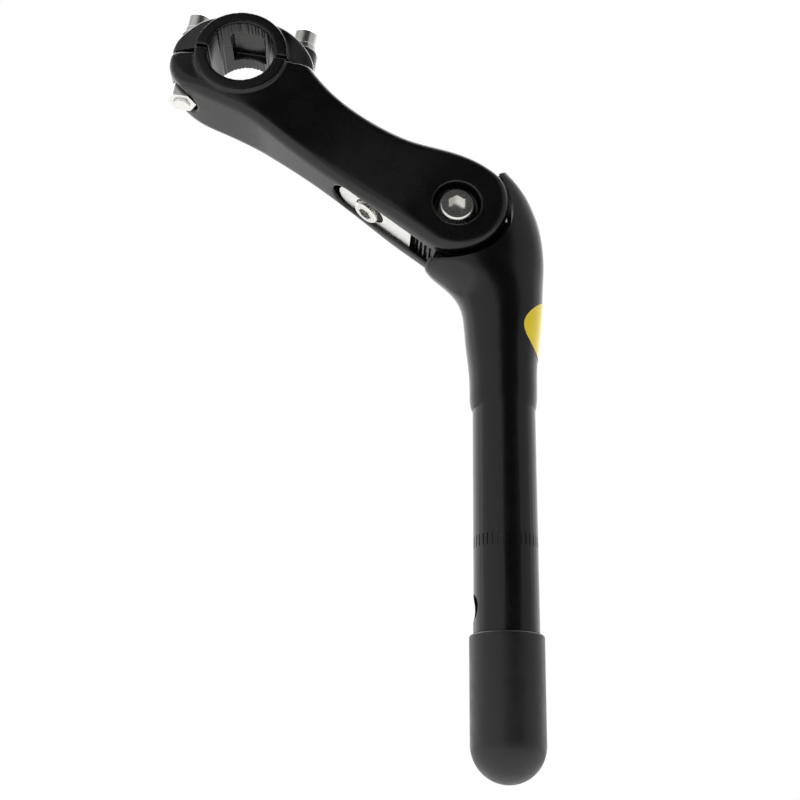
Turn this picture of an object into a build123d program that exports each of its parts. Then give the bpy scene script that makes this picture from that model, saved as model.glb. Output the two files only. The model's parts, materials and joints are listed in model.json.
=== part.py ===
from build123d import *

# Adjustable-angle quill stem: vertical quill post, tilting arm, toothed angle wedge and two-bolt bar clamp.
# Frame: origin on the quill axis at the top of the insertion marks, +Z up the quill, +X forward to the
# handlebar, +Y to the rider's left, where the pivot bolt's head is.
import os
from math import cos, pi, radians, sin

os.makedirs("parts", exist_ok=True)

# ---- fasteners ----
bolt8_r = 4.0                # pivot and expander bolts
bolt6_r = 3.0                # clamp and wedge bolts
running = 0.05               # radial clearance of a shaft that turns or slides in its hole
hole_gap = 0.3               # radial clearance of a bolt through a plain hole
head6_r = bolt6_r + 2.0
head6_h = 6.0
socket6_af = 5.0
washer_t = 0.8
nut_af = 2 * bolt6_r + 4.0
nut_h = 6.0

# ---- pivot and tongue ----
pivot_x = 17.8
pivot_z = 121.9
cheek_r = 18.3               # arm's round end, about the pivot
saddle_gap = 2.7
saddle_r = cheek_r + saddle_gap
saddle_front_deg = -62.0     # saddle lip, measured about the pivot from +X
saddle_back_deg = 139.0
tongue_half = 6.0
tongue_tip_r = cheek_r - 1.1
tooth_depth = 1.0
tooth_pitch_deg = 7.5
bush_wall = 1.0
shim_t = 0.45
pivot_head_r = bolt8_r + 2.5
pivot_head_h = 4.0
pivot_recess_r = pivot_head_r + 2.3
pivot_recess_depth = 4.8
pivot_socket_af = 6.0
pivot_nut_h = 3.4

# ---- arm ----
arm_deg = 36.5
arm_len = 102.6
cheek_half = 13.5
cheek_rise = 2.0             # the arm's top stands this far above the round end's radius
waist_half = 10.0
waist_top = 10.6
slot_half = tongue_half + shim_t + running
fork_r = tongue_tip_r + 0.9  # clearance round the tongue
arm_round = 3.6

# ---- quill post ----
quill_r = 11.1               # 22.2 mm steerer bore size
quill_wall = 3.1
quill_bore_r = quill_r - quill_wall
cap_seat_r = quill_r - 0.25  # lower end, turned down for the end cap
quill_bottom_z = -61.0
quill_straight_top_z = 46.0
head_half_width = cheek_half - 0.3
lip_t = 1.7                  # metal in front of the saddle's lip
head_front_x = pivot_x + saddle_r * cos(radians(saddle_front_deg)) + lip_t
head_back_x = quill_r + 4.3
head_top_z = pivot_z + 17.6
seat_z = pivot_z - 42.9      # shoulder under the expander bolt's head
seat_floor = 14.0            # metal under that shoulder
exp_head_r = bolt8_r + 1.6
exp_head_h = 8.0
exp_washer_t = 1.5
key_bore_r = exp_head_r + 0.4
relief_hole_r = 4.5
relief_hole_z = -24.0
relief_slot_w = 2.4
mark_count = 36
mark_len = 4.0
mark_depth = 0.25
arrow_len = 17.0

# ---- angle wedge ----
wedge_side_gap = 0.3
wedge_front_gap = 2.1
wedge_bottom_n = 1.4 - cheek_r
wedge_rear_s = 8.0
tip_gap = 0.4                # wedge tooth tips stand this far off the tongue's teeth
wedge_bolt_s = cheek_r + 9.5
wedge_recess_depth = 4.7
wedge_travel = 1.5
slot_end_s = wedge_bolt_s + 15.8     # rounded front end of the underside slot, along the arm
slot_roof_n = -bolt8_r - 3.2
insert_len = 12.0
insert_wall = 1.5
knurl_count = 36

# ---- bar clamp ----
bar_r = 12.7                 # 25.4 mm handlebar
clamp_deg = 7.0              # split line's rise towards the front
clamp_half = 15.0
ring_t = 4.9
split_gap = 1.2
body_inset = 1.3             # arm and ears stand this far inside the ring's faces
bolt_off = bar_r + bolt6_r + 5.4
ear_reach = bolt_off + head6_r + 1.4
ear_tip_half = head6_r + 1.0
seat_h = bar_r + 0.2         # washer seats above the bore's centre
bevel_washer_t = 2.4
spot_depth = 11.0            # nut seat below the bore's centre
nut_seat_r = nut_af / 2 / cos(radians(30)) + 0.5
clamp_bolt_reach = spot_depth + nut_h + 1.0
cap_round = 2.0
window_w = 12.8
window_len = 16.0
window_depth = 2.5
groove_r = 0.5
groove_pitch_deg = 6.5
groove_span_deg = 55.0

# ---- expander ----
cone_bottom_z = quill_bottom_z - 3.0
cone_h = 20.0
cone_gap = 0.3
cone_top_r = quill_bore_r - cone_gap
cone_bottom_r = cone_top_r + 2.3

# ---- end cap ----
cap_rim_z = -33.0
cap_wall_gap = 0.08
cap_inner_r = cap_seat_r + cap_wall_gap
cap_outer_r = quill_r + 1.5
cap_draft = 0.15             # the cap narrows by this much down to its dome
cap_dome_z = cone_bottom_z - 4.0

# ---- label ----
label_t = 0.12
label_w = 25.0
label_h = 21.0
label_z = seat_z - 1.2

ARM = Plane(
    origin=(pivot_x, 0, pivot_z),
    x_dir=(cos(radians(arm_deg)), 0, sin(radians(arm_deg))),
    z_dir=(0, -1, 0),
)
arm_u = Vector(cos(radians(arm_deg)), 0, sin(radians(arm_deg)))
arm_n = Vector(-sin(radians(arm_deg)), 0, cos(radians(arm_deg)))
bar_x = pivot_x + arm_len * cos(radians(arm_deg))
bar_z = pivot_z + arm_len * sin(radians(arm_deg))
CLAMP = Plane(
    origin=(bar_x, 0, bar_z),
    x_dir=(cos(radians(clamp_deg)), 0, sin(radians(clamp_deg))),
    z_dir=(0, -1, 0),
)
SIDE = Plane(origin=(pivot_x, 0, pivot_z), x_dir=(1, 0, 0), z_dir=(0, -1, 0))
pivot_point = Vector(pivot_x, 0, pivot_z)


def arm_plane(s, n=0.0):
    """Plane across the arm at height n: local x along the arm, local y across it, normal up from the arm."""
    return Plane(origin=pivot_point + arm_u * s + arm_n * n, x_dir=arm_u, z_dir=arm_n)


def clamp_plane(e, h):
    """Plane square to the clamp bolts, e along the split and h above the bore's centre."""
    up = Vector(-sin(radians(clamp_deg)), 0, cos(radians(clamp_deg)))
    along = Vector(cos(radians(clamp_deg)), 0, sin(radians(clamp_deg)))
    return Plane(origin=Vector(bar_x, 0, bar_z) + along * e + up * h, x_dir=along, z_dir=up)


def pivot_plane(y):
    """Plane square to the pivot axis at y, normal towards +Y."""
    return Plane(origin=(pivot_x, y, pivot_z), x_dir=(-1, 0, 0), z_dir=(0, 1, 0))


def in_arm(e, h):
    """A clamp-frame point in the arm's side-view coordinates."""
    t = radians(clamp_deg - arm_deg)
    return (arm_len + e * cos(t) - h * sin(t), e * sin(t) + h * cos(t))


def polar(r, deg):
    """Point at radius r and angle deg in a side view."""
    return (r * cos(radians(deg)), r * sin(radians(deg)))


# ======================= quill post =======================
# Each row: height, front reach, back reach, half width. The flare runs up to the head round the pivot.
flare = pivot_z - 36.9 - quill_straight_top_z
head_rows = [
    (quill_straight_top_z, quill_r, quill_r, quill_r),
    (quill_straight_top_z + flare * 0.31, quill_r + 1.2, quill_r + 0.9, quill_r + 0.4),
    (quill_straight_top_z + flare * 0.67, quill_r + 2.6, quill_r + 2.0, quill_r + 1.0),
    (quill_straight_top_z + flare, quill_r + 4.2, head_back_x - 1.0, head_half_width - 0.7),
    (pivot_z - 28.9, head_front_x - 9.4, head_back_x - 0.5, head_half_width - 0.3),
    (pivot_z - 20.6, head_front_x - 0.7, head_back_x, head_half_width),
    (pivot_z - 12.9, head_front_x, head_back_x - 0.1, head_half_width),
    (pivot_z - 4.9, head_front_x, head_back_x - 1.1, head_half_width),
    (pivot_z + 3.1, head_front_x, head_back_x - 3.2, head_half_width),
    (pivot_z + 10.1, head_front_x, head_back_x - 6.2, head_half_width),
    (head_top_z, head_front_x, head_back_x - 11.7, head_half_width),
]


def head_section(row, extra=0.0):
    """Oval across the post at one row, grown outwards by extra."""
    z, front, back, half = row
    with BuildSketch(Plane.XY.offset(z)) as section:
        with Locations(((front - back) / 2, 0)):
            Ellipse((front + back) / 2 + extra, half + extra)
    return section.sketch


def tooth_bars(r_open, r_floor, first_deg, last_deg, half, plane):
    """Gaps between teeth about the pivot, wide at r_open and narrow at r_floor, as one part to cut away."""
    count = int((last_deg - first_deg) / tooth_pitch_deg)
    wide = tooth_pitch_deg * 0.40
    narrow = tooth_pitch_deg * 0.20
    with BuildPart(mode=Mode.PRIVATE) as gaps:
        with BuildSketch(plane):
            for i in range(count + 1):
                a = first_deg + i * tooth_pitch_deg
                with BuildLine():
                    Polyline(
                        polar(r_open, a - wide),
                        polar(r_open, a + wide),
                        polar(r_floor, a + narrow),
                        polar(r_floor, a - narrow),
                        close=True,
                    )
                make_face()
        extrude(amount=half, both=True)
    return gaps.part


with BuildPart() as quill_post:
    with BuildSketch(Plane.XY.offset(cap_rim_z + 0.5)):
        Circle(quill_r)
    extrude(amount=quill_straight_top_z - cap_rim_z - 0.5)
    with BuildSketch(Plane.XY.offset(quill_bottom_z)):
        Circle(cap_seat_r)
    extrude(amount=cap_rim_z + 0.5 - quill_bottom_z)
    for row in head_rows:
        add(head_section(row))
    loft()
    # saddle round the arm's end, and everything forward of its lip
    with BuildSketch(SIDE):
        Circle(saddle_r)
    extrude(amount=2 * head_half_width, both=True, mode=Mode.SUBTRACT)
    with BuildSketch(SIDE):
        with BuildLine():
            mid_deg = (saddle_front_deg + saddle_back_deg) / 2
            far = 3 * saddle_r
            Line((0, 0), polar(far, saddle_front_deg))
            ThreePointArc(polar(far, saddle_front_deg), polar(far, mid_deg), polar(far, saddle_back_deg))
            Line(polar(far, saddle_back_deg), (0, 0))
        make_face()
    extrude(amount=2 * head_half_width, both=True, mode=Mode.SUBTRACT)
    # toothed tongue between the cheeks, and the neck that joins it to the head
    with BuildSketch(SIDE):
        Circle(tongue_tip_r)
    extrude(amount=tongue_half, both=True)
    with BuildSketch(SIDE):
        with BuildLine():
            neck_a = 190.0
            neck_b = 360.0 + saddle_front_deg - 4.0
            neck_r = saddle_r + 1.2
            Line((0, 0), polar(neck_r, neck_a))
            ThreePointArc(polar(neck_r, neck_a), polar(neck_r, (neck_a + neck_b) / 2), polar(neck_r, neck_b))
            Line(polar(neck_r, neck_b), (0, 0))
        make_face()
    extrude(amount=tongue_half, both=True)
    # expander passage: cone mouth, bore, bolt hole and key bore
    cone_slope = (cone_bottom_r - cone_top_r) / cone_h
    mouth_r = cone_bottom_r - cone_slope * (quill_bottom_z - cone_bottom_z) + cone_gap
    mouth_top_z = quill_bottom_z + (mouth_r - quill_bore_r) / cone_slope
    with BuildSketch(Plane.XZ):
        with BuildLine():
            Polyline(
                (0, quill_bottom_z),
                (mouth_r, quill_bottom_z),
                (quill_bore_r, mouth_top_z),
                (quill_bore_r, seat_z - seat_floor),
                (bolt8_r + hole_gap, seat_z - seat_floor + 4),
                (bolt8_r + hole_gap, seat_z),
                (key_bore_r, seat_z),
                (key_bore_r, head_top_z + 10),
                (0, head_top_z + 10),
                close=True,
            )
        make_face()
    revolve(axis=Axis.Z, mode=Mode.SUBTRACT)
    # pivot bush seat
    with BuildSketch(SIDE):
        Circle(bolt8_r + running + bush_wall)
    extrude(amount=tongue_half + 1, both=True, mode=Mode.SUBTRACT)
    # relief hole and slot on the front of the quill's lower end
    with BuildSketch(Plane.YZ):
        with Locations((0, relief_hole_z)):
            Circle(relief_hole_r)
        with Locations((0, (relief_hole_z + quill_bottom_z) / 2 - 1)):
            Rectangle(relief_slot_w, relief_hole_z - quill_bottom_z + 2)
    extrude(amount=quill_r + 5, mode=Mode.SUBTRACT)
    # tooth gaps on the front of the tongue
    tongue_gaps = tooth_bars(
        tongue_tip_r + 0.3, tongue_tip_r - tooth_depth, saddle_front_deg + 3, 68, tongue_half + 1, SIDE
    )
    add(tongue_gaps, mode=Mode.SUBTRACT)
    # insertion limit marks round the quill and an upward arrow
    with BuildSketch(Plane.XY.offset(-mark_len)):
        with PolarLocations(quill_r, mark_count):
            Rectangle(2 * mark_depth, 0.45)
    extrude(amount=mark_len, mode=Mode.SUBTRACT)
    with BuildSketch(Plane.XZ.offset(-quill_r - 1)):
        with Locations((0, -mark_len - 4 - arrow_len / 2)):
            Rectangle(0.5, arrow_len)
        with Locations((0, -mark_len - 5)):
            Trapezoid(3.0, 4.0, 72)
    extrude(amount=1 + mark_depth, mode=Mode.SUBTRACT)
quill_post.part.label = "quill_post"


# ======================= pieces fixed to the post =======================
with BuildPart() as pivot_bush:
    with BuildSketch(SIDE):
        Circle(bolt8_r + running + bush_wall)
        Circle(bolt8_r + running, mode=Mode.SUBTRACT)
    extrude(amount=tongue_half, both=True)
pivot_bush.part.label = "pivot_bush"

with BuildPart() as friction_shims:
    for side in (1, -1):
        with BuildSketch(pivot_plane(side * tongue_half)):
            Circle(tongue_tip_r - 3.5)
            Circle(bolt8_r + hole_gap, mode=Mode.SUBTRACT)
        extrude(amount=side * shim_t)
    with BuildSketch(Plane.XY.offset(seat_z)):
        Circle(key_bore_r + 0.4)
    extrude(amount=head_top_z - seat_z + 10, mode=Mode.SUBTRACT)
friction_shims.part.label = "friction_shims"

with BuildPart() as blank_label:
    for row in head_rows:
        add(head_section(row, label_t))
    loft()
    for row in head_rows:
        add(head_section(row))
    loft(mode=Mode.SUBTRACT)
    with BuildSketch(Plane.YZ):
        with BuildLine():
            top = label_z + label_h / 2
            low = label_z - label_h / 2
            w = label_w / 2
            for flip in (-1, 1):
                Spline((0, top), (flip * w * 0.62, top - 1.0), (flip * w * 0.94, top - 6.5),
                       (flip * w * 0.55, low + 4.5), (0, low))
        make_face()
    extrude(amount=-2 * head_back_x, mode=Mode.INTERSECT)
blank_label.part.label = "blank_label"

with BuildPart() as expander_washer:
    with BuildSketch(Plane.XY.offset(seat_z)):
        Circle(key_bore_r - 0.3)
        Circle(bolt8_r + 0.2, mode=Mode.SUBTRACT)
    extrude(amount=exp_washer_t)
expander_washer.part.label = "expander_washer"

# ======================= expander =======================
with BuildPart() as expander_bolt:
    head_base_z = seat_z + exp_washer_t
    with BuildSketch(Plane.XY.offset(cone_bottom_z + 1)):
        Circle(bolt8_r)
    extrude(amount=head_base_z - cone_bottom_z - 1)
    chamfer(expander_bolt.edges().sort_by(Axis.Z)[0], 0.8)
    with BuildSketch(Plane.XY.offset(head_base_z)):
        Circle(exp_head_r)
    extrude(amount=exp_head_h)
    chamfer(expander_bolt.edges().sort_by(Axis.Z)[-1], 0.5)
    with BuildSketch(Plane.XY.offset(head_base_z + exp_head_h - 4.5)):
        RegularPolygon(3.0, 6, major_radius=False)
    extrude(amount=5, mode=Mode.SUBTRACT)
expander_bolt.part.label = "expander_bolt"

with BuildPart() as expander_cone:
    with BuildSketch(Plane.XZ):
        with BuildLine():
            Polyline(
                (bolt8_r + running, cone_bottom_z),
                (cone_bottom_r, cone_bottom_z),
                (cone_top_r, cone_bottom_z + cone_h),
                (bolt8_r + running, cone_bottom_z + cone_h),
                close=True,
            )
        make_face()
    revolve(axis=Axis.Z)
    # key rib that stops the cone turning in the quill's slot
    with BuildSketch(Plane.YZ):
        with Locations((0, cone_bottom_z + cone_h / 2 + 1)):
            Rectangle(relief_slot_w - 0.6, cone_h - 4)
    extrude(amount=cone_bottom_r - 0.2)
    with BuildSketch(Plane.XY.offset(cone_bottom_z)):
        Circle(bolt8_r + running)
    extrude(amount=cone_h, mode=Mode.SUBTRACT)
expander_cone.part.label = "expander_cone"

with BuildPart() as end_cap:
    with BuildSketch(Plane.XZ):
        with BuildLine():
            outer_low = cap_outer_r - cap_draft
            Line((cap_inner_r, cap_rim_z), (cap_outer_r - 0.9, cap_rim_z))
            ThreePointArc(
                (cap_outer_r - 0.9, cap_rim_z),
                (cap_outer_r - 0.26, cap_rim_z - 0.26),
                (cap_outer_r, cap_rim_z - 0.9),
            )
            Line((cap_outer_r, cap_rim_z - 0.9), (outer_low, cap_dome_z))
            ThreePointArc(
                (outer_low, cap_dome_z),
                (outer_low * cos(pi / 4), cap_dome_z - outer_low * sin(pi / 4)),
                (0, cap_dome_z - outer_low),
            )
            Line((0, cap_dome_z - outer_low), (0, cap_dome_z - cap_inner_r))
            ThreePointArc(
                (0, cap_dome_z - cap_inner_r),
                (cap_inner_r * cos(pi / 4), cap_dome_z - cap_inner_r * sin(pi / 4)),
                (cap_inner_r, cap_dome_z),
            )
            Line((cap_inner_r, cap_dome_z), (cap_inner_r, cap_rim_z))
        make_face()
    revolve(axis=Axis.Z)
end_cap.part.label = "end_cap"

# ======================= arm =======================
cheek_top = cheek_r + cheek_rise
ring_r = bar_r + ring_t
with BuildPart() as stem_arm:
    with BuildSketch(ARM):
        with BuildLine():
            low_front = in_arm(ear_reach - 2.6, -spot_depth)
            tip_low = in_arm(ear_reach, -3.6)
            tip = in_arm(ear_reach, -split_gap / 2)
            heel = in_arm(-ear_reach, -split_gap / 2)
            ThreePointArc((-cheek_r, 0), polar(cheek_r, 225), (0, -cheek_r))
            belly = (arm_len - 26.6, -cheek_r)
            Line((0, -cheek_r), belly)
            Spline(belly, (arm_len - 11.1, -ring_r - 2.3), (arm_len + 3.9, -ring_r - 5.3), low_front, tip_low,
                   tangents=[(1, 0), (sin(radians(arm_deg - clamp_deg)), cos(radians(arm_deg - clamp_deg)))])
            Line(tip_low, tip)
            Line(tip, heel)
            back_line = [(0.643, 0.1), (0.517, -0.2), (0.400, 0.5), (0.283, 2.3), (0.175, 5.8), (0.078, 8.8)]
            Spline(heel, *[(share * arm_len, waist_top + rise) for share, rise in back_line], (0, cheek_top))
            Spline((0, cheek_top), (-cheek_r * 0.75, cheek_top * 0.69), (-cheek_r, 0),
                   tangents=[(-1, 0.05), (0, -1)])
        make_face()
    extrude(amount=clamp_half + 2, both=True)
    with BuildSketch(arm_plane(0)):
        with BuildLine():
            inset_half = clamp_half - body_inset
            front_s = arm_len + ear_reach - 3.5
            rear_s = -cheek_r - 4
            ring_from = arm_len - 12.6
            ring_to = arm_len + 1.4
            for side in (-1, 1):
                Polyline((rear_s, 0), (rear_s, side * cheek_half), (10, side * cheek_half))
                Spline((10, side * cheek_half), (0.29 * arm_len, side * (waist_half + 1.6)),
                       (0.51 * arm_len, side * waist_half), (0.68 * arm_len, side * (waist_half + 1.5)),
                       (ring_from, side * inset_half), tangents=[(1, 0), (1, 0)])
                Line((ring_from, side * inset_half), (ring_to, side * inset_half))
                Spline((ring_to, side * inset_half), (arm_len + bar_r + 1.7, side * (inset_half - 2.4)),
                       (front_s, side * ear_tip_half), tangents=[(1, 0), (0.25, -side)])
                Line((front_s, side * ear_tip_half), (front_s, 0))
        make_face()
    extrude(amount=arm_len, both=True, mode=Mode.INTERSECT)
    long_edges = []
    split_normal = clamp_plane(0, 0).z_dir
    split_point = clamp_plane(0, -split_gap / 2).origin
    for edge in stem_arm.edges():
        ends = [edge.position_at(t) - pivot_point for t in (0.0, 1.0)]
        along = abs((ends[1] - ends[0]).dot(arm_u))
        side_half = min(abs(p.Y) for p in ends)
        heights = [(p + pivot_point - split_point).dot(split_normal) for p in ends]
        on_split = max(abs(h) for h in heights) < 0.01
        if along > 0.6 and side_half > ear_tip_half + 0.5 and not on_split:
            long_edges.append(edge)
    fillet(long_edges, arm_round)
    # cradle ring under the bar
    with BuildSketch(CLAMP):
        Circle(bar_r + ring_t)
        with Locations((0, bar_r * 2 - split_gap / 2)):
            Rectangle(bar_r * 5, bar_r * 4, mode=Mode.SUBTRACT)
    extrude(amount=clamp_half, both=True)
    with BuildSketch(CLAMP):
        Circle(bar_r)
    extrude(amount=clamp_half + 5, both=True, mode=Mode.SUBTRACT)
    # fork for the tongue: round the pivot, open at the back and above
    with BuildSketch(ARM):
        Circle(fork_r)
        with Locations((-fork_r, 0)):
            Rectangle(2 * fork_r, 3.3 * fork_r)
        with Locations((fork_r / 2 - 4, 1.1 * fork_r)):
            Rectangle(fork_r + 8, 2.2 * fork_r)
    extrude(amount=slot_half, both=True, mode=Mode.SUBTRACT)
    # underside slot for the wedge, round at its front end
    with BuildSketch(arm_plane(0, slot_roof_n)):
        with Locations((slot_end_s - slot_half, 0)):
            Circle(slot_half)
        with Locations(((slot_end_s - slot_half) / 2, 0)):
            Rectangle(slot_end_s - slot_half, 2 * slot_half)
    extrude(amount=-30, mode=Mode.SUBTRACT)
    # pivot bolt hole and the round recesses in both cheeks
    with BuildSketch(SIDE):
        Circle(bolt8_r + 0.2)
    extrude(amount=30, both=True, mode=Mode.SUBTRACT)
    for side in (1, -1):
        with BuildSketch(pivot_plane(side * (cheek_half - pivot_recess_depth))):
            Circle(pivot_recess_r)
        extrude(amount=side * 10, mode=Mode.SUBTRACT)
    # hole for the wedge bolt's threaded insert
    with BuildSketch(arm_plane(wedge_bolt_s, slot_roof_n)):
        Circle(bolt6_r + running + insert_wall)
    extrude(amount=insert_len, mode=Mode.SUBTRACT)
    with BuildSketch(arm_plane(wedge_bolt_s, slot_roof_n)):
        Circle(bolt6_r + hole_gap)
    extrude(amount=insert_len + 1.5, mode=Mode.SUBTRACT)
    # front clamp bolt hole with its open nut seat, and the rear bolt's blind hole
    with BuildSketch(clamp_plane(bolt_off, -spot_depth)):
        Circle(bolt6_r + hole_gap)
    extrude(amount=20, mode=Mode.SUBTRACT)
    with BuildSketch(clamp_plane(bolt_off, -spot_depth)):
        Circle(nut_seat_r)
    extrude(amount=-25, mode=Mode.SUBTRACT)
    with BuildSketch(clamp_plane(-bolt_off, -clamp_bolt_reach - 1.5)):
        Circle(bolt6_r + running)
    extrude(amount=clamp_bolt_reach + 6, mode=Mode.SUBTRACT)
stem_arm.part.label = "stem_arm"

# ======================= pivot bolt set =======================
seat_y = cheek_half - pivot_recess_depth
with BuildPart() as pivot_bolt:
    with BuildSketch(pivot_plane(seat_y)):
        Circle(pivot_head_r)
    extrude(amount=pivot_head_h)
    chamfer(pivot_bolt.edges().sort_by(Axis.Y)[-1], 0.7)
    with BuildSketch(pivot_plane(-seat_y - washer_t - pivot_nut_h - 0.6)):
        Circle(bolt8_r)
    extrude(amount=2 * seat_y + washer_t + pivot_nut_h + 0.6)
    with BuildSketch(pivot_plane(seat_y + pivot_head_h)):
        RegularPolygon(pivot_socket_af / 2, 6, major_radius=False, rotation=30)
    extrude(amount=-pivot_head_h + 0.8, mode=Mode.SUBTRACT)
pivot_bolt.part.label = "pivot_bolt"

with BuildPart() as pivot_washer:
    with BuildSketch(pivot_plane(-seat_y)):
        Circle(pivot_recess_r - 0.6)
        Circle(bolt8_r + 0.2, mode=Mode.SUBTRACT)
    extrude(amount=-washer_t)
pivot_washer.part.label = "pivot_washer"

with BuildPart() as pivot_nut:
    with BuildSketch(pivot_plane(-seat_y - washer_t)):
        RegularPolygon(pivot_head_r, 6, major_radius=False)
        Circle(bolt8_r, mode=Mode.SUBTRACT)
    extrude(amount=-pivot_nut_h)
pivot_nut.part.label = "pivot_nut"

# ======================= angle wedge =======================
wedge_half = slot_half - wedge_side_gap
wedge_front_s = slot_end_s - wedge_front_gap
wedge_top_n = slot_roof_n - 0.3
recess_n = wedge_bottom_n + wedge_recess_depth
tip_r = tongue_tip_r + tip_gap
with BuildPart() as angle_wedge:
    with BuildSketch(arm_plane(0, wedge_bottom_n)):
        with Locations((wedge_front_s - wedge_half, 0)):
            Circle(wedge_half)
        with Locations(((wedge_front_s - wedge_half + wedge_rear_s) / 2, 0)):
            Rectangle(wedge_front_s - wedge_half - wedge_rear_s, 2 * wedge_half)
    extrude(amount=wedge_top_n - wedge_bottom_n)
    with BuildSketch(ARM):
        Circle(tip_r)
    extrude(amount=20, both=True, mode=Mode.SUBTRACT)
    add(
        tooth_bars(tip_r - 0.3, tip_r + tooth_depth, -64, -24, slot_half, ARM),
        mode=Mode.SUBTRACT,
    )
    with BuildSketch(arm_plane(wedge_bolt_s - wedge_travel / 2, recess_n)):
        SlotCenterToCenter(wedge_travel + 0.2, 2 * (head6_r + 0.4))
    extrude(amount=-20, mode=Mode.SUBTRACT)
    with BuildSketch(arm_plane(wedge_bolt_s - wedge_travel / 2, recess_n - 1)):
        SlotCenterToCenter(wedge_travel + 0.2, 2 * (bolt6_r + hole_gap + running))
    extrude(amount=20, mode=Mode.SUBTRACT)
angle_wedge.part.label = "angle_wedge"

with BuildPart() as wedge_washer:
    with BuildSketch(arm_plane(wedge_bolt_s, recess_n)):
        Circle(head6_r + 0.1)
        Circle(bolt6_r + 0.15, mode=Mode.SUBTRACT)
    extrude(amount=-washer_t)
wedge_washer.part.label = "wedge_washer"


def socket_bolt(seat, reach, knurls=0):
    """M6 cap-head bolt: its head stands on the plane seat, and the shank goes the other way."""
    with BuildPart(mode=Mode.PRIVATE) as bolt:
        with BuildSketch(seat):
            Circle(head6_r)
        extrude(amount=head6_h)
        chamfer(bolt.faces().sort_by(Axis(seat.origin, seat.z_dir))[-1].edges(), 0.5)
        if knurls:
            with BuildSketch(seat):
                with PolarLocations(head6_r + 0.15, knurls):
                    Circle(0.32)
            extrude(amount=head6_h - 0.6, mode=Mode.SUBTRACT)
        with BuildSketch(seat):
            Circle(bolt6_r)
        extrude(amount=-reach)
        with BuildSketch(seat.offset(head6_h)):
            RegularPolygon(socket6_af / 2, 6, major_radius=False)
        extrude(amount=2.0 - head6_h, mode=Mode.SUBTRACT)
    return bolt.part


with BuildPart() as wedge_bolt:
    head_seat_n = recess_n - washer_t
    head_seat = arm_plane(wedge_bolt_s, head_seat_n)
    add(
        socket_bolt(
            Plane(origin=head_seat.origin, x_dir=head_seat.x_dir, z_dir=-head_seat.z_dir),
            slot_roof_n + insert_len - head_seat_n,
            knurl_count,
        )
    )
wedge_bolt.part.label = "wedge_bolt"

with BuildPart() as wedge_insert:
    with BuildSketch(arm_plane(wedge_bolt_s, slot_roof_n)):
        Circle(bolt6_r + running + insert_wall)
        Circle(bolt6_r + running, mode=Mode.SUBTRACT)
    extrude(amount=insert_len)
wedge_insert.part.label = "wedge_insert"

# ======================= bar clamp cap =======================
cap_half = clamp_half - body_inset
with BuildPart() as clamp_cap:
    low = split_gap / 2
    with BuildSketch(CLAMP):
        with BuildLine():
            shoulder = [
                (ear_reach - 0.9, 5.0),
                (ear_reach - 3.9, 9.2),
                (bar_r + 6.5, bar_r - 0.3),
                (bar_r + 1.8, bar_r + 1.7),
                (bar_r - 4.7, bar_r + 3.5),
            ]
            far_side = [(-x, y) for x, y in reversed(shoulder)]
            Line((-ear_reach, low), (ear_reach, low))
            Spline((ear_reach, low), *shoulder, (0, bar_r + 4.1), *far_side, (-ear_reach, low))
        make_face()
    extrude(amount=clamp_half + 2, both=True)
    with BuildSketch(clamp_plane(0, 0)):
        with BuildLine():
            for along in (-1, 1):
                for side in (-1, 1):
                    Line((0, side * cap_half), (along * 8, side * cap_half))
                    Spline((along * 8, side * cap_half), (along * (bar_r + 4.3), side * (cap_half - 1.2)),
                           (along * (ear_reach - 4.0), side * (cap_half - 4.4)),
                           (along * ear_reach, side * ear_tip_half),
                           tangents=[(along, 0), (0.3 * along, -side)])
                    Line((along * ear_reach, side * ear_tip_half), (along * ear_reach, 0))
        make_face()
    extrude(amount=3 * bar_r, both=True, mode=Mode.INTERSECT)
    top_edges = [
        e for e in clamp_cap.edges()
        if (e.center() - clamp_plane(0, low + 0.5).origin).dot(clamp_plane(0, 0).z_dir) > 0
        and e.length > 6 and abs(e.center().Y) > 2
    ]
    fillet(top_edges, cap_round)
    # arch ring over the bar
    with BuildSketch(CLAMP):
        Circle(bar_r + ring_t)
        with Locations((0, -bar_r * 2 + low)):
            Rectangle(bar_r * 5, bar_r * 4, mode=Mode.SUBTRACT)
    extrude(amount=clamp_half, both=True)
    # bolt bosses with flat washer seats
    for side in (1, -1):
        with BuildSketch(clamp_plane(side * bolt_off, low)):
            Circle(head6_r + 0.9)
        extrude(amount=seat_h - low)
        with BuildSketch(clamp_plane(side * bolt_off, seat_h)):
            Circle(head6_r + 1.1)
        extrude(amount=12, mode=Mode.SUBTRACT)
        with BuildSketch(clamp_plane(side * bolt_off, 0)):
            Circle(bolt6_r + hole_gap)
        extrude(amount=30, mode=Mode.SUBTRACT)
    with BuildSketch(CLAMP):
        Circle(bar_r)
    extrude(amount=clamp_half + 5, both=True, mode=Mode.SUBTRACT)
    # grip grooves across the bore's top, and the shallow window between them
    with BuildSketch(CLAMP):
        count = int(groove_span_deg / groove_pitch_deg)
        for i in range(-count, count + 1):
            with Locations(polar(bar_r, 90 + i * groove_pitch_deg)):
                Circle(groove_r)
    extrude(amount=clamp_half + 5, both=True, mode=Mode.SUBTRACT)
    with BuildSketch(clamp_plane(0, 0)):
        Rectangle(window_w, window_len)
    extrude(amount=bar_r + window_depth, mode=Mode.SUBTRACT)
clamp_cap.part.label = "clamp_cap"

with BuildPart() as clamp_washers:
    for side in (1, -1):
        with BuildSketch(clamp_plane(side * bolt_off, seat_h)):
            Circle(head6_r + 0.4)
            Circle(bolt6_r + 0.2, mode=Mode.SUBTRACT)
        extrude(amount=bevel_washer_t)
clamp_washers.part.label = "clamp_washers"

with BuildPart() as clamp_bolts:
    for side in (1, -1):
        add(
            socket_bolt(
                clamp_plane(side * bolt_off, seat_h + bevel_washer_t),
                clamp_bolt_reach + seat_h + bevel_washer_t,
            )
        )
clamp_bolts.part.label = "clamp_bolts"

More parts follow.
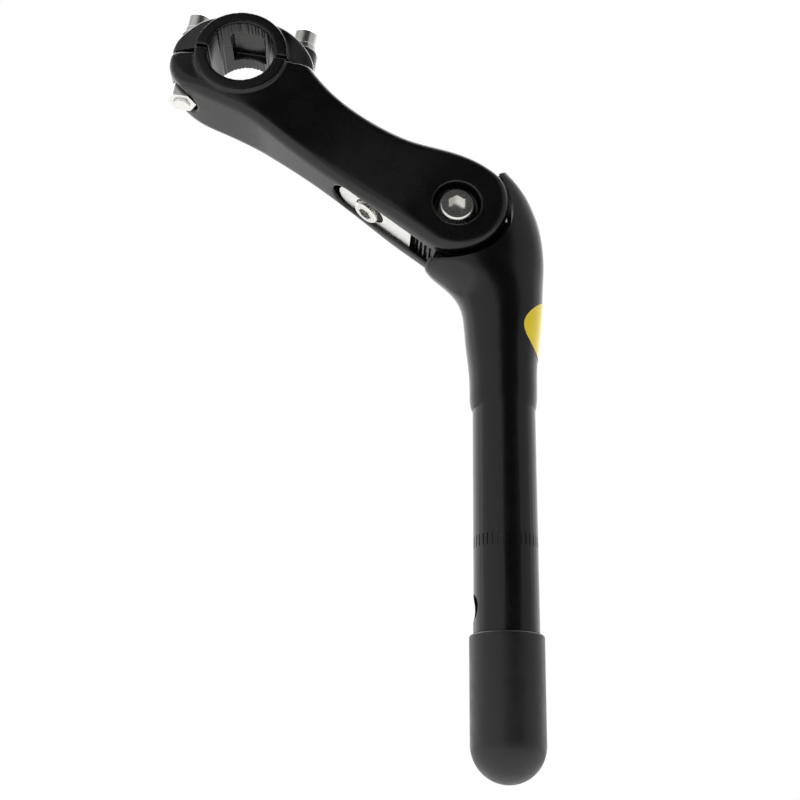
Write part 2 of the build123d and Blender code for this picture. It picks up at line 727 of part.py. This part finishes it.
with BuildPart() as clamp_nut:
    with BuildSketch(clamp_plane(bolt_off, -spot_depth)):
        RegularPolygon(nut_af / 2, 6, major_radius=False)
        Circle(bolt6_r + running, mode=Mode.SUBTRACT)
    extrude(amount=-nut_h)
clamp_nut.part.label = "clamp_nut"

nodes = {
    "quill_post": quill_post, "pivot_bush": pivot_bush, "friction_shims": friction_shims,
    "blank_label": blank_label, "expander_washer": expander_washer, "expander_bolt": expander_bolt,
    "expander_cone": expander_cone, "end_cap": end_cap, "stem_arm": stem_arm, "pivot_bolt": pivot_bolt,
    "pivot_washer": pivot_washer, "pivot_nut": pivot_nut, "angle_wedge": angle_wedge,
    "wedge_washer": wedge_washer, "wedge_bolt": wedge_bolt, "wedge_insert": wedge_insert,
    "clamp_cap": clamp_cap, "clamp_washers": clamp_washers, "clamp_bolts": clamp_bolts,
    "clamp_nut": clamp_nut,
}
for name, built in nodes.items():
    export_step(built.part, f"parts/{name}.step")
    print(name, round(built.part.volume, 1), len(built.part.solids()), built.part.is_valid)
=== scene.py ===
"""Adjustable-angle quill stem: finishes and fine shapes round the fixed CAD frame."""

import json
import logging
import math
from dataclasses import dataclass
from enum import Enum

import bpy
from mathutils import Matrix, Vector

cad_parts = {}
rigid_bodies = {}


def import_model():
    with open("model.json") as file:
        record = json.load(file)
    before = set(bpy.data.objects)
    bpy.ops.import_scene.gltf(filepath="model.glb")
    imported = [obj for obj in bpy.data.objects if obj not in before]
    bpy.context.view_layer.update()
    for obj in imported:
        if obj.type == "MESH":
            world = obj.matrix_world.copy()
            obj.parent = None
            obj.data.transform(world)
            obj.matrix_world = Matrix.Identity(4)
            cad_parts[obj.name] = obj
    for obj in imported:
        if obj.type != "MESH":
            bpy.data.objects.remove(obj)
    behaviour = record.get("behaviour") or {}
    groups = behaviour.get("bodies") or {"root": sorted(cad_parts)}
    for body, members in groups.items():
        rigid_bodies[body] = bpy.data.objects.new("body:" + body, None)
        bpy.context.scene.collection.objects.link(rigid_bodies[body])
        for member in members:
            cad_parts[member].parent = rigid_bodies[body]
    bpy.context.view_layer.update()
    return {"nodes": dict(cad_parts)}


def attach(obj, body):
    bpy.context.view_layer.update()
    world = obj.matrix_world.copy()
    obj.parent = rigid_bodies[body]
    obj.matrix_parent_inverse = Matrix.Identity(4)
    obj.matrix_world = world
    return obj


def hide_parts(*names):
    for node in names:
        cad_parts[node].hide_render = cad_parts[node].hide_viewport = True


LOG = logging.getLogger("stem")
MM = 0.001
WELD_MM = 0.002              # points nearer than this are one point
SHARP_DEG = 32.0             # an edge turning more than this is a real edge
NORMAL_WEIGHT = 60           # how strongly the larger faces set a node's shading
SMOOTH_STEP = 0.5            # how far one smoothing pass moves a point towards its neighbours


# ======================= small helpers =======================


def linear(code: str) -> tuple[float, float, float, float]:
    """Turn an sRGB hex colour into linear red, green, blue and alpha.

    Args:
        code: six hex digits, such as "1a1b1c".

    Returns:
        The linear colour, with alpha 1.
    """
    parts = [int(code[i:i + 2], 16) / 255 for i in (0, 2, 4)]
    low = [c / 12.92 if c <= 0.04045 else ((c + 0.055) / 1.055) ** 2.4 for c in parts]
    return (low[0], low[1], low[2], 1.0)


def deselect() -> None:
    """Leave object mode with nothing selected."""
    if bpy.context.object and bpy.context.object.mode != "OBJECT":
        bpy.ops.object.mode_set(mode="OBJECT")
    bpy.ops.object.select_all(action="DESELECT")


def activate(piece: bpy.types.Object) -> None:
    """Select one object alone and make it active.

    Args:
        piece: the object to work on.
    """
    deselect()
    piece.select_set(True)
    bpy.context.view_layer.objects.active = piece


def add_node(tree: bpy.types.NodeTree, kind: str, settings: dict | None = None,
             links: dict | None = None) -> bpy.types.Node:
    """Add one shader node with its settings and its incoming links.

    Args:
        tree: the node tree.
        kind: the node's type name.
        settings: attribute or input name to value.
        links: input name to the output socket that feeds it.

    Returns:
        The new node.
    """
    node = tree.nodes.new(kind)
    for name, value in (settings or {}).items():
        if hasattr(node, name) and name not in node.inputs:
            setattr(node, name, value)
        else:
            node.inputs[name].default_value = value
    for name, output in (links or {}).items():
        tree.links.new(output, node.inputs[name])
    return node


# ======================= finishes =======================


@dataclass(frozen=True)
class Grain:
    """One layer of fine surface relief.

    Args:
        size_mm: width of one grain.
        height_mm: how far it stands up.
        detail: octaves of finer grain inside it.
        stretch: scale along X, Y and Z, above 1 for shorter grain.
    """

    size_mm: float
    height_mm: float
    detail: float = 2.0
    stretch: tuple[float, float, float] = (1.0, 1.0, 1.0)


@dataclass(frozen=True)
class Finish:
    """A surface finish: colour, gloss and relief, all in the part's own metres.

    Args:
        name: what the real surface is.
        shade: main colour as sRGB hex.
        second: colour of the faint mottling.
        roughness: middle roughness.
        roughness_swing: how far mottling moves it each way.
        mottle_mm: width of one patch of mottling.
        metallic: 1 for bare metal.
        ior: index of refraction of a paint, film or rubber.
        coat: strength of a clear gloss layer.
        grains: relief layers, coarse first.
    """

    name: str
    shade: str
    second: str
    roughness: float
    roughness_swing: float
    mottle_mm: float
    metallic: float = 0.0
    ior: float = 1.5
    coat: float = 0.0
    grains: tuple[Grain, ...] = ()

    def build(self) -> bpy.types.Material:
        """Make the node material.

        Returns:
            The finished material.
        """
        made = bpy.data.materials.new(self.name)
        made.use_nodes = True
        tree = made.node_tree
        shader = tree.nodes["Principled BSDF"]
        place = add_node(tree, "ShaderNodeTexCoord").outputs["Object"]
        patch = add_node(tree, "ShaderNodeTexNoise", {"Scale": 1 / (self.mottle_mm * MM), "Detail": 4.0,
                                                      "Roughness": 0.55}, {"Vector": place})
        colour = add_node(tree, "ShaderNodeMix", {"data_type": "RGBA"}, {"Factor": patch.outputs["Fac"]})
        colour.inputs[6].default_value = linear(self.shade)
        colour.inputs[7].default_value = linear(self.second)
        tree.links.new(colour.outputs[2], shader.inputs["Base Color"])
        gloss = add_node(tree, "ShaderNodeMapRange", {"From Min": 0.3, "From Max": 0.7,
                                                      "To Min": self.roughness - self.roughness_swing,
                                                      "To Max": self.roughness + self.roughness_swing},
                         {"Value": patch.outputs["Fac"]})
        tree.links.new(gloss.outputs["Result"], shader.inputs["Roughness"])
        shader.inputs["Metallic"].default_value = self.metallic
        shader.inputs["IOR"].default_value = self.ior
        shader.inputs["Coat Weight"].default_value = self.coat
        normal = None
        for grain in self.grains:
            scaled = add_node(tree, "ShaderNodeMapping", {"Scale": grain.stretch}, {"Vector": place})
            cells = add_node(tree, "ShaderNodeTexNoise", {"Scale": 1 / (grain.size_mm * MM), "Detail": grain.detail},
                             {"Vector": scaled.outputs["Vector"]})
            links = {"Height": cells.outputs["Fac"]}
            if normal:
                links["Normal"] = normal
            relief = add_node(tree, "ShaderNodeBump", {"Strength": 1.0, "Distance": grain.height_mm * MM}, links)
            normal = relief.outputs["Normal"]
        if normal:
            tree.links.new(normal, shader.inputs["Normal"])
        return made


class Finishes(Enum):
    """Every finish on the stem."""

    # forged aluminium under satin black paint: a faint orange peel that softens each reflection
    BLACK_PAINT = Finish("satin_black_paint", "060607", "09090a", 0.27, 0.03, 9.0, ior=1.5,
                         grains=(Grain(2.6, 0.004), Grain(0.5, 0.0012)))
    # drawn aluminium tube, painted: finer skin with faint lines up the tube
    POST_PAINT = Finish("satin_black_post_paint", "060607", "09090a", 0.25, 0.03, 9.0, ior=1.5,
                        grains=(Grain(2.2, 0.003), Grain(0.5, 0.001, stretch=(1.0, 1.0, 0.2))))
    # bright zinc on steel: pale, faintly clouded, with a barely visible grain
    ZINC = Finish("zinc_plated_steel", "ecebe8", "e2e1de", 0.26, 0.03, 4.0, metallic=1.0,
                  grains=(Grain(0.6, 0.0007),))
    # bare aluminium with fine cutter marks across it
    MACHINED = Finish("machined_aluminium", "f4f3f1", "eae9e7", 0.34, 0.04, 3.0, metallic=1.0,
                      grains=(Grain(0.4, 0.0012, stretch=(1.0, 0.15, 1.0)),))
    # moulded rubber: dull, with a fine dry skin
    RUBBER = Finish("moulded_black_rubber", "0c0c0d", "121213", 0.42, 0.06, 4.0, ior=1.52,
                    grains=(Grain(0.9, 0.008), Grain(0.25, 0.004)))
    # printed film: flat yellow under a thin gloss
    FILM = Finish("yellow_vinyl_film", "f6dc1c", "f2d614", 0.35, 0.05, 3.0, ior=1.48, coat=0.4,
                  grains=(Grain(1.2, 0.003),))
    # plain bearing bronze
    BRONZE = Finish("bearing_bronze", "b98a4e", "a67a42", 0.38, 0.08, 1.5, metallic=1.0,
                    grains=(Grain(0.3, 0.004),))
    # rolled spring steel
    ROLLED = Finish("rolled_shim_steel", "a9a9a8", "9d9d9c", 0.32, 0.06, 1.5, metallic=1.0,
                    grains=(Grain(0.3, 0.003),))
    # cast aluminium as turned
    CAST = Finish("turned_cast_aluminium", "bdbdbb", "aeaead", 0.42, 0.08, 2.0, metallic=1.0,
                  grains=(Grain(0.5, 0.008),))


class Wardrobe:
    """Keeps one material for each finish."""

    def __init__(self) -> None:
        """Start with no material made."""
        self.made: dict[str, bpy.types.Material] = {}

    def get(self, finish: Finishes) -> bpy.types.Material:
        """Give a finish's material, making it the first time.

        Args:
            finish: the finish wanted.

        Returns:
            Its material.
        """
        if finish.name not in self.made:
            self.made[finish.name] = finish.value.build()
        return self.made[finish.name]

    def dress(self, piece: bpy.types.Object, finish: Finishes) -> None:
        """Give a piece one finish all over.

        Args:
            piece: the object.
            finish: the finish it gets.
        """
        piece.data.materials.clear()
        piece.data.materials.append(self.get(finish))


# ======================= studio =======================


@dataclass
class Studio:
    """Pale floor, white surround, soft panels and the camera.

    Args:
        floor_z: height of the floor.
        floor_half: half the floor's side.
        camera_at: where the camera stands.
        camera_right: the way the picture's right side points.
        camera_up: the way the picture's top points.
        lens_mm: focal length.
        sensor_mm: width of the sensor.
        centre: the point that the panels face.
        front_strength: room brightness before the stem, on the camera's side.
        back_strength: room brightness behind it.
        fade: the depths, as a share of the view direction's Y, where the room starts and ends brightening.
    """

    floor_z: float = -0.30
    floor_half: float = 4.0
    camera_at: tuple[float, float, float] = (0.0513, 0.4047, -0.0983)
    camera_right: tuple[float, float, float] = (-0.9990, 0.04145, 0.01656)
    camera_up: tuple[float, float, float] = (0.02975, 0.34162, 0.93936)
    lens_mm: float = 54.68
    sensor_mm: float = 36.0
    centre: tuple[float, float, float] = (0.05, 0.0, 0.06)
    front_strength: float = 0.03
    back_strength: float = 1.45
    fade: tuple[float, float] = (0.15, -0.65)

    def build_floor(self) -> bpy.types.Object:
        """Lay the floor.

        Returns:
            The floor object.
        """
        deselect()
        bpy.ops.mesh.primitive_plane_add(size=2 * self.floor_half, location=(0.0, 0.0, self.floor_z))
        floor = bpy.context.object
        floor.name = "floor"
        matt = bpy.data.materials.new("pale_floor_paint")
        matt.use_nodes = True
        shader = matt.node_tree.nodes["Principled BSDF"]
        shader.inputs["Base Color"].default_value = linear("ececea")
        shader.inputs["Roughness"].default_value = 0.9
        floor.data.materials.append(matt)
        return floor

    def panel(self, name: str, azimuth: float, elevation: float, distance: float,
              size: tuple[float, float], radiance: float) -> bpy.types.Object:
        """Hang one soft light panel that faces the stem.

        Args:
            name: the light's name.
            azimuth: degrees from +Y towards +X.
            elevation: degrees above level.
            distance: metres from the stem.
            size: width and height in metres.
            radiance: brightness of the panel's face.

        Returns:
            The light object.
        """
        a, e = math.radians(azimuth), math.radians(elevation)
        out = Vector((math.sin(a) * math.cos(e), math.cos(a) * math.cos(e), math.sin(e)))
        light = bpy.data.lights.new(name, "AREA")
        light.shape = "RECTANGLE"
        light.size, light.size_y = size
        light.energy = radiance * math.pi * size[0] * size[1]
        lamp = bpy.data.objects.new(name, light)
        bpy.context.scene.collection.objects.link(lamp)
        lamp.location = Vector(self.centre) + out * distance
        lamp.rotation_mode = "QUATERNION"
        lamp.rotation_quaternion = (-out).to_track_quat("-Z", "Y")
        return lamp

    def build_surround(self) -> None:
        """Make the white room: plain white to the eye, brighter behind the stem than in front of it."""
        world = bpy.data.worlds.new("white_room")
        bpy.context.scene.world = world
        world.use_nodes = True
        tree = world.node_tree
        tree.nodes.clear()
        way = add_node(tree, "ShaderNodeTexCoord").outputs["Generated"]
        split = add_node(tree, "ShaderNodeSeparateXYZ", links={"Vector": way})
        depth = add_node(
            tree, "ShaderNodeMapRange",
            {"From Min": self.fade[0], "From Max": self.fade[1], "To Min": self.front_strength,
             "To Max": self.back_strength, "interpolation_type": "SMOOTHSTEP"},
            {"Value": split.outputs["Y"]},
        )
        room = add_node(tree, "ShaderNodeBackground", {"Color": linear("ffffff")},
                        {"Strength": depth.outputs["Result"]})
        plain = add_node(tree, "ShaderNodeBackground", {"Color": linear("ffffff"), "Strength": 1.0})
        path = add_node(tree, "ShaderNodeLightPath")
        both = add_node(tree, "ShaderNodeMixShader", links={"Fac": path.outputs["Is Camera Ray"]})
        tree.links.new(room.outputs[0], both.inputs[1])
        tree.links.new(plain.outputs[0], both.inputs[2])
        add_node(tree, "ShaderNodeOutputWorld", links={"Surface": both.outputs[0]})

    def build_camera(self) -> bpy.types.Object:
        """Stand the camera in its place.

        Returns:
            The camera object.
        """
        right = Vector(self.camera_right).normalized()
        up = Vector(self.camera_up)
        up = (up - right * up.dot(right)).normalized()
        back = right.cross(up)
        turn = Matrix((right, up, back)).transposed().to_4x4()
        data = bpy.data.cameras.new("camera")
        data.lens = self.lens_mm
        data.sensor_width = self.sensor_mm
        data.clip_start = 0.01
        data.clip_end = 50.0
        camera = bpy.data.objects.new("camera", data)
        bpy.context.scene.collection.objects.link(camera)
        camera.matrix_world = Matrix.Translation(Vector(self.camera_at)) @ turn
        bpy.context.scene.camera = camera
        return camera

    def build(self) -> None:
        """Set up the whole studio."""
        self.build_floor()
        self.build_surround()
        self.build_camera()
        self.panel("left_panel", 58.0, 12.0, 1.2, (2.5, 1.7), 0.62)
        self.panel("right_panel", -72.0, 16.0, 1.2, (1.25, 1.7), 0.42)
        self.panel("floor_light", 180.0, 70.0, 2.0, (2.4, 2.4), 3.0)
        bpy.context.scene.view_settings.view_transform = "Standard"


# ======================= pieces =======================


@dataclass(frozen=True)
class SoftEdges:
    """Small rounded edges on a machined piece, made by modifiers on its CAD node.

    Args:
        node: the CAD node.
        width_mm: how far each sharp edge is broken.
        segments: faces across one broken edge.
    """

    node: str
    width_mm: float
    segments: int = 2

    def build(self, nodes: dict[str, bpy.types.Object]) -> bpy.types.Object:
        """Put the modifiers on the node.

        Args:
            nodes: every CAD node by name.

        Returns:
            The node.
        """
        piece = nodes[self.node]
        weld = piece.modifiers.new("weld", "WELD")
        weld.merge_threshold = WELD_MM * MM
        bevel = piece.modifiers.new("broken_edges", "BEVEL")
        bevel.width = self.width_mm * MM
        bevel.segments = self.segments
        bevel.limit_method = "ANGLE"
        bevel.angle_limit = math.radians(SHARP_DEG)
        bevel.use_clamp_overlap = True
        normals = piece.modifiers.new("face_normals", "WEIGHTED_NORMAL")
        normals.weight = NORMAL_WEIGHT
        return piece


@dataclass(frozen=True)
class ForgedSkin:
    """Painted skin of one forging: the CAD shape with every edge and seam run together softly.

    Args:
        node: the CAD node it stands in for.
        body: the moving body it rides on.
        voxel_mm: size of the skin's grid.
        passes: smoothing passes.
    """

    node: str
    body: str
    voxel_mm: float
    passes: int

    def build(self, nodes: dict[str, bpy.types.Object]) -> bpy.types.Object:
        """Make the skin from a merged copy of the node.

        Args:
            nodes: every CAD node by name.

        Returns:
            The new piece.
        """
        activate(nodes[self.node])
        bpy.ops.object.duplicate(linked=False)
        skin = bpy.context.object
        skin.name = self.node + "_skin"
        bpy.ops.object.parent_clear(type="CLEAR_KEEP_TRANSFORM")
        bpy.ops.object.transform_apply(location=True, rotation=True, scale=True)
        bpy.ops.object.mode_set(mode="EDIT")
        bpy.ops.mesh.select_all(action="SELECT")
        bpy.ops.mesh.remove_doubles(threshold=WELD_MM * MM)
        bpy.ops.mesh.normals_make_consistent(inside=False)
        bpy.ops.object.mode_set(mode="OBJECT")
        grid = skin.modifiers.new("grid", "REMESH")
        grid.mode = "VOXEL"
        grid.voxel_size = self.voxel_mm * MM
        grid.use_smooth_shade = True
        bpy.ops.object.modifier_apply(modifier=grid.name)
        smooth = skin.modifiers.new("run_together", "SMOOTH")
        smooth.factor = SMOOTH_STEP
        smooth.iterations = self.passes
        bpy.ops.object.modifier_apply(modifier=smooth.name)
        bpy.ops.object.shade_smooth()
        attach(skin, self.body)
        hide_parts(self.node)
        return skin


@dataclass(frozen=True)
class LabelFilm:
    """Rounded film label lying on the back of the post.

    Args:
        half_width_mm: half its width, measured flat across the post.
        half_height_mm: half its height.
        middle_z_mm: height of its middle.
        lift_mm: how far its outer face stands off the paint.
        thick_mm: thickness of the film.
        start_x_mm: where the flat film starts, clear behind the post.
    """

    half_width_mm: float = 10.8
    half_height_mm: float = 11.2
    middle_z_mm: float = 76.2
    lift_mm: float = 0.11
    thick_mm: float = 0.1
    start_x_mm: float = -30.0

    def build(self, nodes: dict[str, bpy.types.Object]) -> bpy.types.Object:
        """Cut the film to shape and lay it on the post.

        Args:
            nodes: every CAD node by name.

        Returns:
            The new piece.
        """
        deselect()
        bpy.ops.mesh.primitive_uv_sphere_add(segments=96, ring_count=64, radius=1.0)
        film = bpy.context.object
        film.name = "label_film"
        bpy.ops.object.mode_set(mode="EDIT")
        bpy.ops.mesh.select_all(action="SELECT")
        bpy.ops.mesh.bisect(plane_co=(0.0, 0.0, 0.0), plane_no=(1.0, 0.0, 0.0), clear_outer=True)
        bpy.ops.mesh.select_all(action="SELECT")
        size = (0.0, self.half_width_mm * MM, self.half_height_mm * MM)
        bpy.ops.transform.resize(value=size, center_override=(0.0, 0.0, 0.0))
        bpy.ops.transform.translate(value=(self.start_x_mm * MM, 0.0, self.middle_z_mm * MM))
        bpy.ops.object.mode_set(mode="OBJECT")
        lay = film.modifiers.new("lay", "SHRINKWRAP")
        lay.target = nodes["quill_post"]
        lay.wrap_method = "PROJECT"
        lay.use_project_x = True
        lay.use_positive_direction = True
        lay.use_negative_direction = False
        lay.offset = self.lift_mm * MM
        bpy.ops.object.modifier_apply(modifier=lay.name)
        solid = film.modifiers.new("thickness", "SOLIDIFY")
        solid.thickness = self.thick_mm * MM
        solid.offset = 0.0
        bpy.ops.object.modifier_apply(modifier=solid.name)
        bpy.ops.object.mode_set(mode="EDIT")
        bpy.ops.mesh.select_all(action="SELECT")
        bpy.ops.mesh.normals_make_consistent(inside=False)
        bpy.ops.object.mode_set(mode="OBJECT")
        bpy.ops.object.shade_smooth_by_angle(angle=math.radians(SHARP_DEG))
        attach(film, "post")
        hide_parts("blank_label")
        return film


CAD_FINISH: dict[str, Finishes] = {
    "quill_post": Finishes.POST_PAINT, "pivot_bush": Finishes.BRONZE, "friction_shims": Finishes.ROLLED,
    "blank_label": Finishes.FILM, "expander_washer": Finishes.ZINC, "expander_bolt": Finishes.ZINC,
    "expander_cone": Finishes.CAST, "end_cap": Finishes.RUBBER, "stem_arm": Finishes.BLACK_PAINT,
    "pivot_bolt": Finishes.ZINC, "pivot_washer": Finishes.ZINC, "pivot_nut": Finishes.ZINC,
    "angle_wedge": Finishes.MACHINED, "wedge_washer": Finishes.ZINC, "wedge_bolt": Finishes.ZINC,
    "wedge_insert": Finishes.ZINC, "clamp_cap": Finishes.BLACK_PAINT, "clamp_washers": Finishes.ZINC,
    "clamp_bolts": Finishes.ZINC, "clamp_nut": Finishes.ZINC,
}

MACHINED_PIECES = (
    SoftEdges("pivot_bolt", 0.25, 3), SoftEdges("clamp_bolts", 0.2), SoftEdges("clamp_washers", 0.25),
    SoftEdges("clamp_nut", 0.25), SoftEdges("pivot_nut", 0.25), SoftEdges("angle_wedge", 0.35, 3),
)

FORGINGS = (
    ForgedSkin("stem_arm", "arm", 0.5, 10),
    ForgedSkin("clamp_cap", "bar_cap", 0.4, 7),
)


def main() -> None:
    """Load the frame, build every sub-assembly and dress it."""
    logging.basicConfig(level=logging.INFO, format="%(name)s: %(message)s")
    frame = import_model()
    nodes = frame["nodes"]
    Studio().build()
    wardrobe = Wardrobe()
    for name, finish in CAD_FINISH.items():
        wardrobe.dress(nodes[name], finish)
        LOG.info("%s dressed", name)
    for piece in MACHINED_PIECES:
        piece.build(nodes)
        LOG.info("%s edges broken", piece.node)
    for forging in FORGINGS:
        skin = forging.build(nodes)
        wardrobe.dress(skin, CAD_FINISH[forging.node])
        LOG.info("%s built", skin.name)
    film = LabelFilm().build(nodes)
    wardrobe.dress(film, Finishes.FILM)
    LOG.info("%s built", film.name)


if __name__ == "__main__":
    main()
